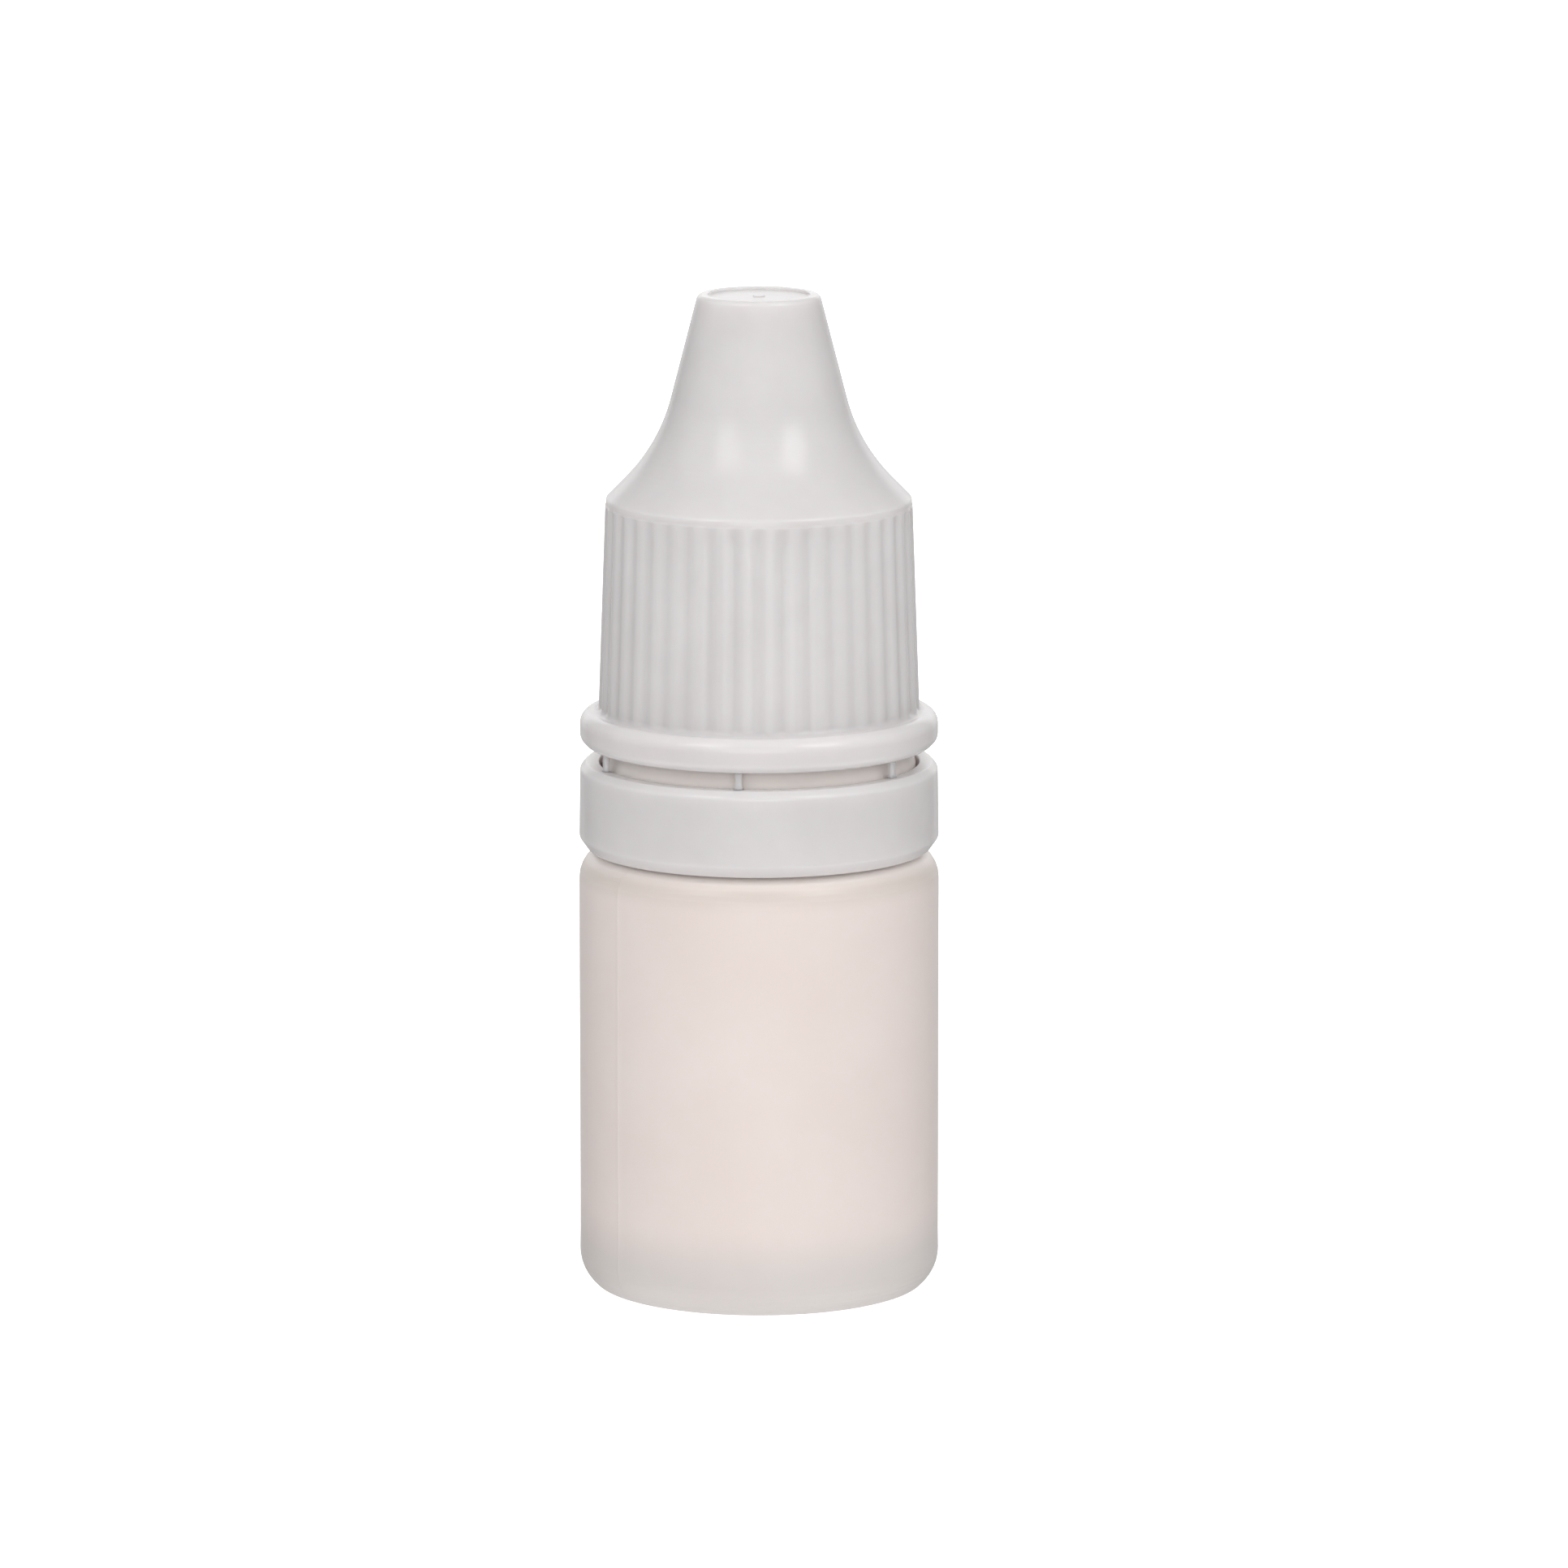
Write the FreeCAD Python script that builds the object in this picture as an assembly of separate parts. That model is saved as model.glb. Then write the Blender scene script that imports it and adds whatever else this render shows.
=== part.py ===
"""A 5 ml squeeze bottle with a press-in dropper tip and a screw cap with a break-off tamper band.

Five sub-parts, each written to parts/NODE.step, in millimetres:
bottle, dropper_tip, cap, tamper_band and band_bridges.
Origin: centre of the base on the surface that the bottle stands on, +Z up the axis, front towards -Y.
"""

import FreeCAD
import Part

import math
import os

from FreeCAD import Vector

# --- Driving dimensions -------------------------------------------------------------------------
# Moulded edges, shared by all the sub-parts
EDGE_ROUND = 0.15
SOFT_ROUND = 0.35

# Bottle body
BODY_RADIUS = 10.5
SHOULDER_Z = 25.8
SHOULDER_ROUND = 1.75
WALL = 0.9
BASE_THICKNESS = 1.1
HEEL_BEND_Z = 0.87
HEEL_ROUND = 2.5
FOOT_OUTER_RADIUS = 9.5
FOOT_INNER_RADIUS = 7.2
FOOT_ROUND = 0.4
PUSH_UP = 0.9
PUSH_UP_RADIUS = 6.0
PUSH_UP_ROUND = 1.5

# Neck: a wide collar under the retaining bead, and the narrower threaded stretch above it
COLLAR_RADIUS = 8.2
BEAD_RADIUS = 9.1
BEAD_BOTTOM_Z = 28.6
BEAD_EDGE_Z = 30.85
BEAD_TOP_RADIUS = 8.85
BEAD_TOP_Z = 31.86
NECK_RADIUS = 7.05
NECK_TOP_Z = 43.3
NECK_BORE_RADIUS = 5.85
NECK_BORE_END_Z = 33.4
THROAT_RADIUS = 6.95
THROAT_TOP_Z = 31.2
THROAT_ROUND = 0.7

# Screw thread: one start, right-handed, the same lead on the neck and in the cap
THREAD_LEAD = 3.0
THREAD_DEPTH = 0.65
THREAD_ROOT_WIDTH = 1.5
THREAD_CREST_WIDTH = 0.6
THREAD_OVERLAP = 0.2
THREAD_RUNOUT_DEG = 24.0
NECK_THREAD_START_Z = 35.2
NECK_THREAD_TURNS = 1.75
CAP_THREAD_START_Z = 34.05
CAP_THREAD_TURNS = 1.5

# Cap, from its foot flange up
CAP_BOTTOM_Z = 31.93
CAP_FLANGE_RADIUS = 10.4
CAP_FLANGE_TOP_Z = 33.92
CAP_FLANGE_BEVEL = 0.42
CAP_FLANGE_LOWER_ROUND = 0.55
CAP_FLANGE_UPPER_ROUND = 0.72
CAP_GRIP_FOOT_ROUND = 0.5
CAP_BORE_RADIUS = 7.85
CAP_MOUTH_BEVEL = 0.4
CAP_GRIP_BOTTOM_RADIUS = 9.34
CAP_GRIP_TOP_RADIUS = 8.92
CAP_GRIP_TOP_Z = 46.05
CAP_BAND_RADIUS = 8.86
CAP_CORNER_Z = 46.35
CAP_CORNER_ROUND = 0.25
CAP_WAIST_RADIUS = 5.79
CAP_WAIST_Z = 49.49
CAP_WAIST_ROUND = 10.4
CAP_TOP_RADIUS = 3.53
CAP_TOP_Z = 58.25
CAP_WALL = 1.1
CAP_CEILING_Z = 56.9
CAP_CEILING_RADIUS = 2.7
CAP_DISH_RADIUS = 2.95
CAP_DISH_DEPTH = 0.16
GATE_RADIUS = 0.35
GATE_HEIGHT = 0.07
GATE_ROUND = 0.03
RIB_COUNT = 40
RIB_HEIGHT = 0.12
RIB_CREST_ROUND = 1.4

# Dropper tip
TIP_Z = 55.9
TIP_RADIUS = 1.75
TIP_LIP_HEIGHT = 0.9
TIP_LIP_ROUND = 3.0
FLANGE_RADIUS = 6.85
FLANGE_THICKNESS = 1.2
NOZZLE_FOOT_RADIUS = 3.95
NOZZLE_FOOT_ROUND = 0.7
NOZZLE_BORE_FOOT_RADIUS = 2.5
NOZZLE_BORE_TOP_RADIUS = 1.0
PLUG_BOTTOM_Z = 36.3
PLUG_RADIUS = 5.8
PLUG_BORE_RADIUS = 4.7
PLUG_LEAD_IN = 0.35
PLUG_LEAD_IN_HEIGHT = 0.9
SEAL_RADIUS = 5.87
SEAL_HALF_HEIGHT = 0.45
SEAL_HEIGHTS = (38.6, 41.2)
ORIFICE_RADIUS = 0.4
ORIFICE_BOTTOM_Z = 52.6
MOUTH_RADIUS = 0.95
MOUTH_DEPTH = 1.0
PIN_CLEARANCE = 0.06
PIN_REACH = 0.8

# Tamper band and its bridges
BAND_RADIUS = 10.46
BAND_TOP_DRAFT = 0.06
BAND_BOTTOM_Z = 25.85
BAND_TOP_Z = 30.92
BAND_BEVEL = 0.38
BAND_FOOT_BEVEL = (0.5, 0.7)
BAND_BORE_RADIUS = 9.3
LIP_RADIUS = 8.4
LIP_BEVEL = 0.35
LIP_TOP_Z = 28.4
LIP_RISE = 0.2
BRIDGE_COUNT = 6
BRIDGE_FIRST_DEG = 263.1
BRIDGE_RADIUS = 9.58
BRIDGE_FOOT = (0.42, 0.62)
BRIDGE_TIP = (0.3, 0.36)
BRIDGE_ROUND = 0.08
BREAK_GAP = 0.03

UP = Vector(0, 0, 1)
ORIGIN = Vector(0, 0, 0)


# --- Helpers ------------------------------------------------------------------------------------
def point_on(radius, angle_deg, z=0.0):
    """The point at a radius and an angle round the Z axis."""
    angle = math.radians(angle_deg)
    return Vector(radius * math.cos(angle), radius * math.sin(angle), z)


def rounded_outline(corners):
    """A closed wire in the XZ plane. Each corner is (r, z) or (r, z, round), its round a tangent arc."""
    edges = []
    starts = []
    ends = []
    for i, (r, z, *rounds) in enumerate(corners):
        corner = Vector(r, 0, z)
        if not rounds:
            starts.append(corner)
            ends.append(corner)
            continue
        before = (Vector(corners[i - 1][0], 0, corners[i - 1][1]) - corner).normalize()
        following = corners[(i + 1) % len(corners)]
        after = (Vector(following[0], 0, following[1]) - corner).normalize()
        half = before.getAngle(after) / 2
        reach = rounds[0] / math.tan(half)
        to_arc = rounds[0] / math.sin(half) - rounds[0]
        middle = corner + (before + after).normalize() * to_arc
        starts.append(corner + before * reach)
        ends.append(corner + after * reach)
        edges.append(Part.Arc(starts[-1], middle, ends[-1]).toShape())
    for end, start in zip(ends, starts[1:] + starts[:1]):
        if not end.isEqual(start, 1e-6):
            edges.append(Part.makeLine(end, start))
    return Part.Wire(Part.__sortEdges__(edges))


def lathe(corners):
    """The solid that the closed outline makes when it turns once round the Z axis."""
    return Part.Face(rounded_outline(corners)).revolve(ORIGIN, UP, 360)


def one_solid(shape):
    """The shape's single solid, with faces that continue each other merged."""
    merged = shape.removeSplitter()
    if len(merged.Solids) != 1 or not merged.Solids[0].isValid():
        raise ValueError("a sub-part is not one valid solid")
    return merged.Solids[0]


def runout_cutter(buried, crest, angle_deg, z, towards):
    """A block that slices a thread's last stretch from its full crest down into its root.

    Its cutting face stands upright, from the crest one run-out before the end to below the root at the end.
    towards is +1 where the thread ends in the direction of increasing angle, else -1.
    """
    full = point_on(crest, angle_deg - towards * THREAD_RUNOUT_DEG)
    end = point_on(buried, angle_deg)
    along = (end - full).normalize()
    across = along.cross(UP) * towards * math.copysign(1, crest - buried)
    start = full - along * THREAD_DEPTH / 2
    far = full + along * THREAD_LEAD * 2
    corners = [start, far, far + across * THREAD_LEAD, start + across * THREAD_LEAD, start]
    lift = Vector(0, 0, z - THREAD_LEAD / 2)
    face = Part.Face(Part.makePolygon([corner + lift for corner in corners]))
    return face.extrude(UP * THREAD_LEAD)


def thread(root, crest, start_z, turns):
    """A right-handed trapezoidal ridge on a wall at radius root, faded out at both ends.

    Its flanks run on into the wall, so that it merges with the wall when the two are fused.
    """
    outward = math.copysign(1, crest - root)
    buried = root - outward * THREAD_OVERLAP
    half_crest = THREAD_CREST_WIDTH / 2
    flank_slope = (THREAD_ROOT_WIDTH - THREAD_CREST_WIDTH) / 2 / THREAD_DEPTH
    half_buried = half_crest + flank_slope * (THREAD_DEPTH + THREAD_OVERLAP)
    corners = [(buried, -half_buried), (crest, -half_crest), (crest, half_crest), (buried, half_buried)]
    outline = Part.makePolygon([Vector(r, 0, z) for r, z in corners + corners[:1]])
    path = Part.Wire(Part.makeHelix(THREAD_LEAD, THREAD_LEAD * turns, root).Edges)
    ridge = path.makePipeShell([outline], True, True)
    ridge.translate(Vector(0, 0, start_z))
    first = runout_cutter(buried, crest, 0, start_z, -1)
    last = runout_cutter(buried, crest, 360 * turns, start_z + THREAD_LEAD * turns, 1)
    return ridge.cut(first).cut(last).Solids[0]


# --- Sub-parts ----------------------------------------------------------------------------------
def make_bottle():
    """The blown bottle: a round body, and a stepped neck with a retaining bead and a thread."""
    inner_radius = BODY_RADIUS - WALL
    inner_shoulder_z = SHOULDER_Z - WALL
    outline = [
        (0, PUSH_UP),
        (PUSH_UP_RADIUS, PUSH_UP, PUSH_UP_ROUND),
        (FOOT_INNER_RADIUS, 0, SOFT_ROUND),
        (FOOT_OUTER_RADIUS, 0, FOOT_ROUND),
        (BODY_RADIUS, HEEL_BEND_Z, HEEL_ROUND),
        (BODY_RADIUS, SHOULDER_Z, SHOULDER_ROUND),
        (COLLAR_RADIUS, SHOULDER_Z, SOFT_ROUND),
        (COLLAR_RADIUS, BEAD_BOTTOM_Z, EDGE_ROUND),
        (BEAD_RADIUS, BEAD_BOTTOM_Z, EDGE_ROUND),
        (BEAD_RADIUS, BEAD_EDGE_Z, SOFT_ROUND),
        (BEAD_TOP_RADIUS, BEAD_TOP_Z, EDGE_ROUND),
        (NECK_RADIUS, BEAD_TOP_Z, SOFT_ROUND),
        (NECK_RADIUS, NECK_TOP_Z, SOFT_ROUND),
        (NECK_BORE_RADIUS, NECK_TOP_Z, EDGE_ROUND),
        (NECK_BORE_RADIUS, NECK_BORE_END_Z, THROAT_ROUND),
        (THROAT_RADIUS, THROAT_TOP_Z, THROAT_ROUND),
        (THROAT_RADIUS, inner_shoulder_z, THROAT_ROUND),
        (inner_radius, inner_shoulder_z, SHOULDER_ROUND - WALL / 2),
        (inner_radius, BASE_THICKNESS, HEEL_ROUND - WALL),
        (FOOT_INNER_RADIUS, BASE_THICKNESS, SOFT_ROUND),
        (PUSH_UP_RADIUS, BASE_THICKNESS + PUSH_UP, PUSH_UP_ROUND),
        (0, BASE_THICKNESS + PUSH_UP),
    ]
    ridge = thread(NECK_RADIUS, NECK_RADIUS + THREAD_DEPTH, NECK_THREAD_START_Z, NECK_THREAD_TURNS)
    return one_solid(lathe(outline).fuse(ridge))


def make_dropper_tip():
    """The press-in tip: a plug with two sealing rings, a flange that sits on the neck, and a nozzle."""
    flange_top_z = NECK_TOP_Z + FLANGE_THICKNESS
    outline = [
        (PLUG_RADIUS - PLUG_LEAD_IN, PLUG_BOTTOM_Z, EDGE_ROUND),
        (PLUG_RADIUS, PLUG_BOTTOM_Z + PLUG_LEAD_IN_HEIGHT),
    ]
    for z in SEAL_HEIGHTS:
        outline.append((PLUG_RADIUS, z - SEAL_HALF_HEIGHT))
        outline.append((SEAL_RADIUS, z))
        outline.append((PLUG_RADIUS, z + SEAL_HALF_HEIGHT))
    outline += [
        (PLUG_RADIUS, NECK_TOP_Z),
        (FLANGE_RADIUS, NECK_TOP_Z, EDGE_ROUND),
        (FLANGE_RADIUS, flange_top_z, SOFT_ROUND),
        (NOZZLE_FOOT_RADIUS, flange_top_z, NOZZLE_FOOT_ROUND),
        (TIP_RADIUS, TIP_Z - TIP_LIP_HEIGHT, TIP_LIP_ROUND),
        (TIP_RADIUS, TIP_Z, SOFT_ROUND),
        (MOUTH_RADIUS, TIP_Z, EDGE_ROUND),
        (ORIFICE_RADIUS, TIP_Z - MOUTH_DEPTH),
        (ORIFICE_RADIUS, ORIFICE_BOTTOM_Z),
        (NOZZLE_BORE_TOP_RADIUS, ORIFICE_BOTTOM_Z - MOUTH_DEPTH, SOFT_ROUND),
        (NOZZLE_BORE_FOOT_RADIUS, flange_top_z + FLANGE_THICKNESS, NOZZLE_FOOT_ROUND),
        (PLUG_BORE_RADIUS, NECK_TOP_Z - SOFT_ROUND, NOZZLE_FOOT_ROUND),
        (PLUG_BORE_RADIUS, PLUG_BOTTOM_Z, EDGE_ROUND),
    ]
    return one_solid(lathe(outline))


def grip_section(crest_radius, z):
    """The grip's closed outline at one height: rounded ribs with narrower rounded grooves between them."""
    step = 360.0 / RIB_COUNT
    half_pitch = math.pi * crest_radius / RIB_COUNT
    lean = 2 * math.atan(RIB_HEIGHT / half_pitch)
    meet_radius = crest_radius - RIB_CREST_ROUND * (1 - math.cos(lean))
    meet_deg = math.degrees(RIB_CREST_ROUND * math.sin(lean) / crest_radius)
    edges = []
    for i in range(RIB_COUNT):
        middle = (i + 0.5) * step
        left = point_on(meet_radius, middle - meet_deg, z)
        crest = point_on(crest_radius, middle, z)
        right = point_on(meet_radius, middle + meet_deg, z)
        groove = point_on(crest_radius - RIB_HEIGHT, middle + step / 2, z)
        next_left = point_on(meet_radius, middle + step - meet_deg, z)
        edges.append(Part.Arc(left, crest, right).toShape())
        edges.append(Part.Arc(right, groove, next_left).toShape())
    return Part.Wire(edges)


def make_grip():
    """The tapered ribbed grip, sunk a little into the flange below and the plain band above."""
    foot = grip_section(CAP_GRIP_BOTTOM_RADIUS, CAP_FLANGE_TOP_Z - SOFT_ROUND)
    top = grip_section(CAP_GRIP_TOP_RADIUS, CAP_GRIP_TOP_Z)
    return Part.makeLoft([foot, top], True, True)


def make_cap_hollow():
    """What the cap is hollowed by, with the sealing pin left standing in the middle of its ceiling."""
    pin_radius = MOUTH_RADIUS - PIN_CLEARANCE
    pin_end_z = TIP_Z - PIN_REACH * MOUTH_DEPTH
    pin_end_radius = pin_radius - PIN_REACH * (MOUTH_RADIUS - ORIFICE_RADIUS)
    mouth_radius = CAP_BORE_RADIUS + CAP_MOUTH_BEVEL
    below_z = CAP_BOTTOM_Z - CAP_WALL
    return lathe(
        [
            (0, below_z),
            (mouth_radius, below_z),
            (mouth_radius, CAP_BOTTOM_Z),
            (CAP_BORE_RADIUS, CAP_BOTTOM_Z + CAP_MOUTH_BEVEL, EDGE_ROUND),
            (CAP_BORE_RADIUS, CAP_CORNER_Z - CAP_WALL, SOFT_ROUND),
            (CAP_WAIST_RADIUS - CAP_WALL, CAP_WAIST_Z - CAP_WALL / 2, CAP_WAIST_ROUND),
            (CAP_CEILING_RADIUS, CAP_CEILING_Z, SOFT_ROUND),
            (pin_radius + PIN_CLEARANCE, CAP_CEILING_Z, EDGE_ROUND),
            (pin_radius, TIP_Z, EDGE_ROUND),
            (pin_end_radius, pin_end_z, EDGE_ROUND),
            (0, pin_end_z),
        ]
    )


def make_cap():
    """The screw cap: a ribbed skirt with a foot flange, a hollow cone, a thread and a sealing pin."""
    groove_depth = RIB_HEIGHT + CAP_GRIP_TOP_RADIUS - CAP_BAND_RADIUS
    dish_z = CAP_TOP_Z - CAP_DISH_DEPTH
    gate_z = dish_z + GATE_HEIGHT
    outer = [
        (0, CAP_BOTTOM_Z),
        (CAP_FLANGE_RADIUS - CAP_FLANGE_BEVEL, CAP_BOTTOM_Z, SOFT_ROUND),
        (CAP_FLANGE_RADIUS, CAP_BOTTOM_Z + CAP_FLANGE_BEVEL, CAP_FLANGE_LOWER_ROUND),
        (CAP_FLANGE_RADIUS, CAP_FLANGE_TOP_Z, CAP_FLANGE_UPPER_ROUND),
        (CAP_GRIP_BOTTOM_RADIUS - groove_depth, CAP_FLANGE_TOP_Z, CAP_GRIP_FOOT_ROUND),
        (CAP_GRIP_TOP_RADIUS - groove_depth, CAP_GRIP_TOP_Z - SOFT_ROUND),
        (CAP_BAND_RADIUS, CAP_GRIP_TOP_Z),
        (CAP_BAND_RADIUS, CAP_CORNER_Z, CAP_CORNER_ROUND),
        (CAP_WAIST_RADIUS, CAP_WAIST_Z, CAP_WAIST_ROUND),
        (CAP_TOP_RADIUS, CAP_TOP_Z, SOFT_ROUND),
        (CAP_DISH_RADIUS, CAP_TOP_Z, EDGE_ROUND / 2),
        (CAP_DISH_RADIUS, dish_z, EDGE_ROUND / 2),
        (GATE_RADIUS, dish_z, GATE_ROUND),
        (GATE_RADIUS, gate_z, GATE_ROUND),
        (0, gate_z),
    ]
    ridge = thread(
        CAP_BORE_RADIUS, CAP_BORE_RADIUS - THREAD_DEPTH, CAP_THREAD_START_Z, CAP_THREAD_TURNS
    )
    shell = lathe(outer).fuse(make_grip()).cut(make_cap_hollow())
    return one_solid(shell.fuse(ridge))


def make_tamper_band():
    """The break-off band: a plain collar whose inner lip hooks under the neck's bead."""
    bevel_width, bevel_height = BAND_FOOT_BEVEL
    outline = [
        (LIP_RADIUS, BAND_BOTTOM_Z + LIP_BEVEL, EDGE_ROUND),
        (LIP_RADIUS + LIP_BEVEL, BAND_BOTTOM_Z, EDGE_ROUND),
        (BAND_RADIUS - bevel_width, BAND_BOTTOM_Z, EDGE_ROUND),
        (BAND_RADIUS, BAND_BOTTOM_Z + bevel_height, SOFT_ROUND),
        (BAND_RADIUS - BAND_TOP_DRAFT, BAND_TOP_Z - BAND_BEVEL, SOFT_ROUND),
        (BAND_RADIUS - BAND_BEVEL, BAND_TOP_Z, EDGE_ROUND),
        (BAND_BORE_RADIUS, BAND_TOP_Z, EDGE_ROUND / 2),
        (BAND_BORE_RADIUS, LIP_TOP_Z + LIP_RISE, EDGE_ROUND),
        (LIP_RADIUS, LIP_TOP_Z, EDGE_ROUND),
    ]
    return one_solid(lathe(outline))


def make_bridge(angle_deg):
    """One tapered bridge on top of the band, its thin end just short of the cap's flange."""
    sections = []
    for (depth, width), z in ((BRIDGE_FOOT, BAND_TOP_Z), (BRIDGE_TIP, CAP_BOTTOM_Z - BREAK_GAP)):
        inner = BRIDGE_RADIUS - depth / 2
        outer = BRIDGE_RADIUS + depth / 2
        left = -width / 2
        right = width / 2
        corners = [(inner, left), (outer, left), (outer, right), (inner, right), (inner, left)]
        sections.append(Part.makePolygon([Vector(x, y, z) for x, y in corners]))
    bridge = Part.makeLoft(sections, True, True)
    upright = [edge for edge in bridge.Edges if abs(edge.tangentAt(edge.FirstParameter).z) > 0.5]
    bridge = bridge.makeFillet(BRIDGE_ROUND, upright)
    bridge.rotate(ORIGIN, UP, angle_deg)
    return bridge


def make_band_bridges():
    """The ring of thin bridges that join the band to the cap until the first opening snaps them."""
    step = 360.0 / BRIDGE_COUNT
    return Part.makeCompound([make_bridge(BRIDGE_FIRST_DEG + i * step) for i in range(BRIDGE_COUNT)])


SUB_PARTS = {
    "bottle": make_bottle,
    "dropper_tip": make_dropper_tip,
    "cap": make_cap,
    "tamper_band": make_tamper_band,
    "band_bridges": make_band_bridges,
}

os.makedirs("parts", exist_ok=True)
for name, make in SUB_PARTS.items():
    shape = make()
    shape.exportStep(os.path.join("parts", name + ".step"))
    print(f"{name}: {len(shape.Solids)} solid(s), {shape.Volume:.1f} mm3")
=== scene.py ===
"""Looks of the dropper bottle: fine meshes on the CAD frame, moulded plastics, studio and camera.

Metres, in the frame of the CAD model: +Z up, the front towards -Y.
Azimuths run from the front (-Y) towards +X.
"""

import math

import bpy
import numpy as np
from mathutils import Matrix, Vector


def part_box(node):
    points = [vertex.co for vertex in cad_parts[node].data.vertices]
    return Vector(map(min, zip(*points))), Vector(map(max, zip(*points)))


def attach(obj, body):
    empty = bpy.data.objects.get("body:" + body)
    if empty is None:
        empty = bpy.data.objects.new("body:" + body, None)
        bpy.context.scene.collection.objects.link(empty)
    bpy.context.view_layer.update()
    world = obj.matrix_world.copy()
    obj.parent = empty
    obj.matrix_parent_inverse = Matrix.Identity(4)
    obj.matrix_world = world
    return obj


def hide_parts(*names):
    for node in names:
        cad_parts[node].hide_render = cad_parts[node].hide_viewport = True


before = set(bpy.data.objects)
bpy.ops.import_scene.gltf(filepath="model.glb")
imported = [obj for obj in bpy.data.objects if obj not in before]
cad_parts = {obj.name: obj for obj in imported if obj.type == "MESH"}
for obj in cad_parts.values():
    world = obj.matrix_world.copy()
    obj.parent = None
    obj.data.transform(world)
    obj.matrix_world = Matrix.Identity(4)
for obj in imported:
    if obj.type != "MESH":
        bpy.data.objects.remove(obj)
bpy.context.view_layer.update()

MM = 0.001
BOTTLE_LOW, BOTTLE_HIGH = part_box("bottle")
CAP_LOW, CAP_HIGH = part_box("cap")
BAND_LOW, BAND_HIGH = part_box("tamper_band")
BRIDGE_LOW, BRIDGE_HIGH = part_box("band_bridges")

# --- Sizes ----------------------------------------------------------------------------------------
EDGE_ROUND = 0.15 * MM
SOFT_ROUND = 0.35 * MM

# How finely outlines are divided. HOLD is how near its ends a long run gets a point of its own.
ARC_STEP = math.radians(15)
ARC_SPACING = 0.4 * MM
ARC_MIN_STEPS = 2
ROW_SPACING = 1.2 * MM
THREAD_ROW_SPACING = 0.2 * MM
HOLD = 0.07 * MM
PLAIN_COLUMNS = 240
COLUMNS_PER_RIB = 8

BODY_RADIUS = BOTTLE_HIGH.x
SHOULDER_Z = 25.8 * MM
SHOULDER_ROUND = 1.75 * MM
WALL = 0.9 * MM
BASE_THICKNESS = 1.1 * MM
HEEL_BEND_Z = 0.87 * MM
HEEL_ROUND = 2.5 * MM
FOOT_OUTER_RADIUS = 9.5 * MM
FOOT_INNER_RADIUS = 7.2 * MM
FOOT_ROUND = 0.4 * MM
PUSH_UP = 0.9 * MM
PUSH_UP_RADIUS = 6.0 * MM
PUSH_UP_ROUND = 1.5 * MM
COLLAR_RADIUS = 8.2 * MM
BEAD_RADIUS = 9.1 * MM
BEAD_BOTTOM_Z = 28.6 * MM
BEAD_EDGE_Z = 30.85 * MM
BEAD_TOP_RADIUS = 8.85 * MM
BEAD_TOP_Z = 31.86 * MM
NECK_RADIUS = 7.05 * MM
NECK_TOP_Z = BOTTLE_HIGH.z
NECK_BORE_RADIUS = 5.85 * MM
NECK_BORE_END_Z = 33.4 * MM
THROAT_RADIUS = 6.95 * MM
THROAT_TOP_Z = 31.2 * MM
THROAT_ROUND = 0.7 * MM

THREAD_LEAD = 3.0 * MM
THREAD_DEPTH = 0.65 * MM
THREAD_ROOT_WIDTH = 1.5 * MM
THREAD_CREST_WIDTH = 0.6 * MM
THREAD_RUNOUT = math.radians(24)
NECK_THREAD_START_Z = 35.2 * MM
NECK_THREAD_TURNS = 1.75
CAP_THREAD_START_Z = 34.05 * MM
CAP_THREAD_TURNS = 1.5

PARTING_AZIMUTH = math.radians(-51)
PARTING_HEIGHT = 0.025 * MM
PARTING_WIDTH = 0.09 * MM
# Extra columns beside the parting line, at these multiples of its width.
PARTING_COLUMNS = (0.0, 0.35, 0.7, 1.1, 1.6)

# The blown wall's waviness: a standing wave and a weaker twisted one, inwards only.
SIDE_WAVE = 0.012 * MM
WAVE_MEAN = 0.5
WAVE_SWING = 0.3
WAVE_LOBES = 3
WAVE_PHASE = 0.7
WAVE_RISE = 4.1 * MM
TWIST_LOBES = 5
TWIST_RISE = 2.7 * MM
TWIST_SHARE = 0.6

WELD_HEIGHT = 0.12 * MM
WELD_WIDTH = 0.2 * MM

FLANGE_RADIUS = CAP_HIGH.x
FLANGE_TOP_Z = 33.92 * MM
FLANGE_BEVEL = 0.42 * MM
FLANGE_LOWER_ROUND = 0.55 * MM
FLANGE_UPPER_ROUND = 0.72 * MM
GRIP_FOOT_ROUND = 0.33 * MM
CAP_BOTTOM_Z = CAP_LOW.z
CAP_BORE_RADIUS = 7.85 * MM
CAP_MOUTH_BEVEL = 0.4 * MM
GRIP_BOTTOM_RADIUS = 9.34 * MM
GRIP_TOP_RADIUS = 8.92 * MM
GRIP_TOP_Z = 46.05 * MM
PLAIN_RADIUS = 8.86 * MM
CAP_CORNER_Z = 46.35 * MM
CAP_CORNER_ROUND = 0.25 * MM
WAIST_RADIUS = 5.79 * MM
WAIST_Z = 49.49 * MM
WAIST_ROUND = 10.4 * MM
CAP_TOP_RADIUS = 3.53 * MM
CAP_TOP_Z = CAP_HIGH.z
CAP_WALL = 1.1 * MM
CEILING_Z = 56.9 * MM
CEILING_RADIUS = 2.7 * MM
DISH_RADIUS = 2.95 * MM
DISH_DEPTH = 0.16 * MM
GATE_RADIUS = 0.35 * MM
GATE_HEIGHT = 0.07 * MM
GATE_ROUND = 0.03 * MM
PIN_RADIUS = 0.89 * MM
PIN_SHOULDER_Z = 55.9 * MM
PIN_END_RADIUS = 0.45 * MM
PIN_END_Z = 55.1 * MM
RIB_COUNT = 40
RIB_HEIGHT = 0.11 * MM
RIB_SHARPNESS = 1.5
RIB_END = 0.3 * MM

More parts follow.
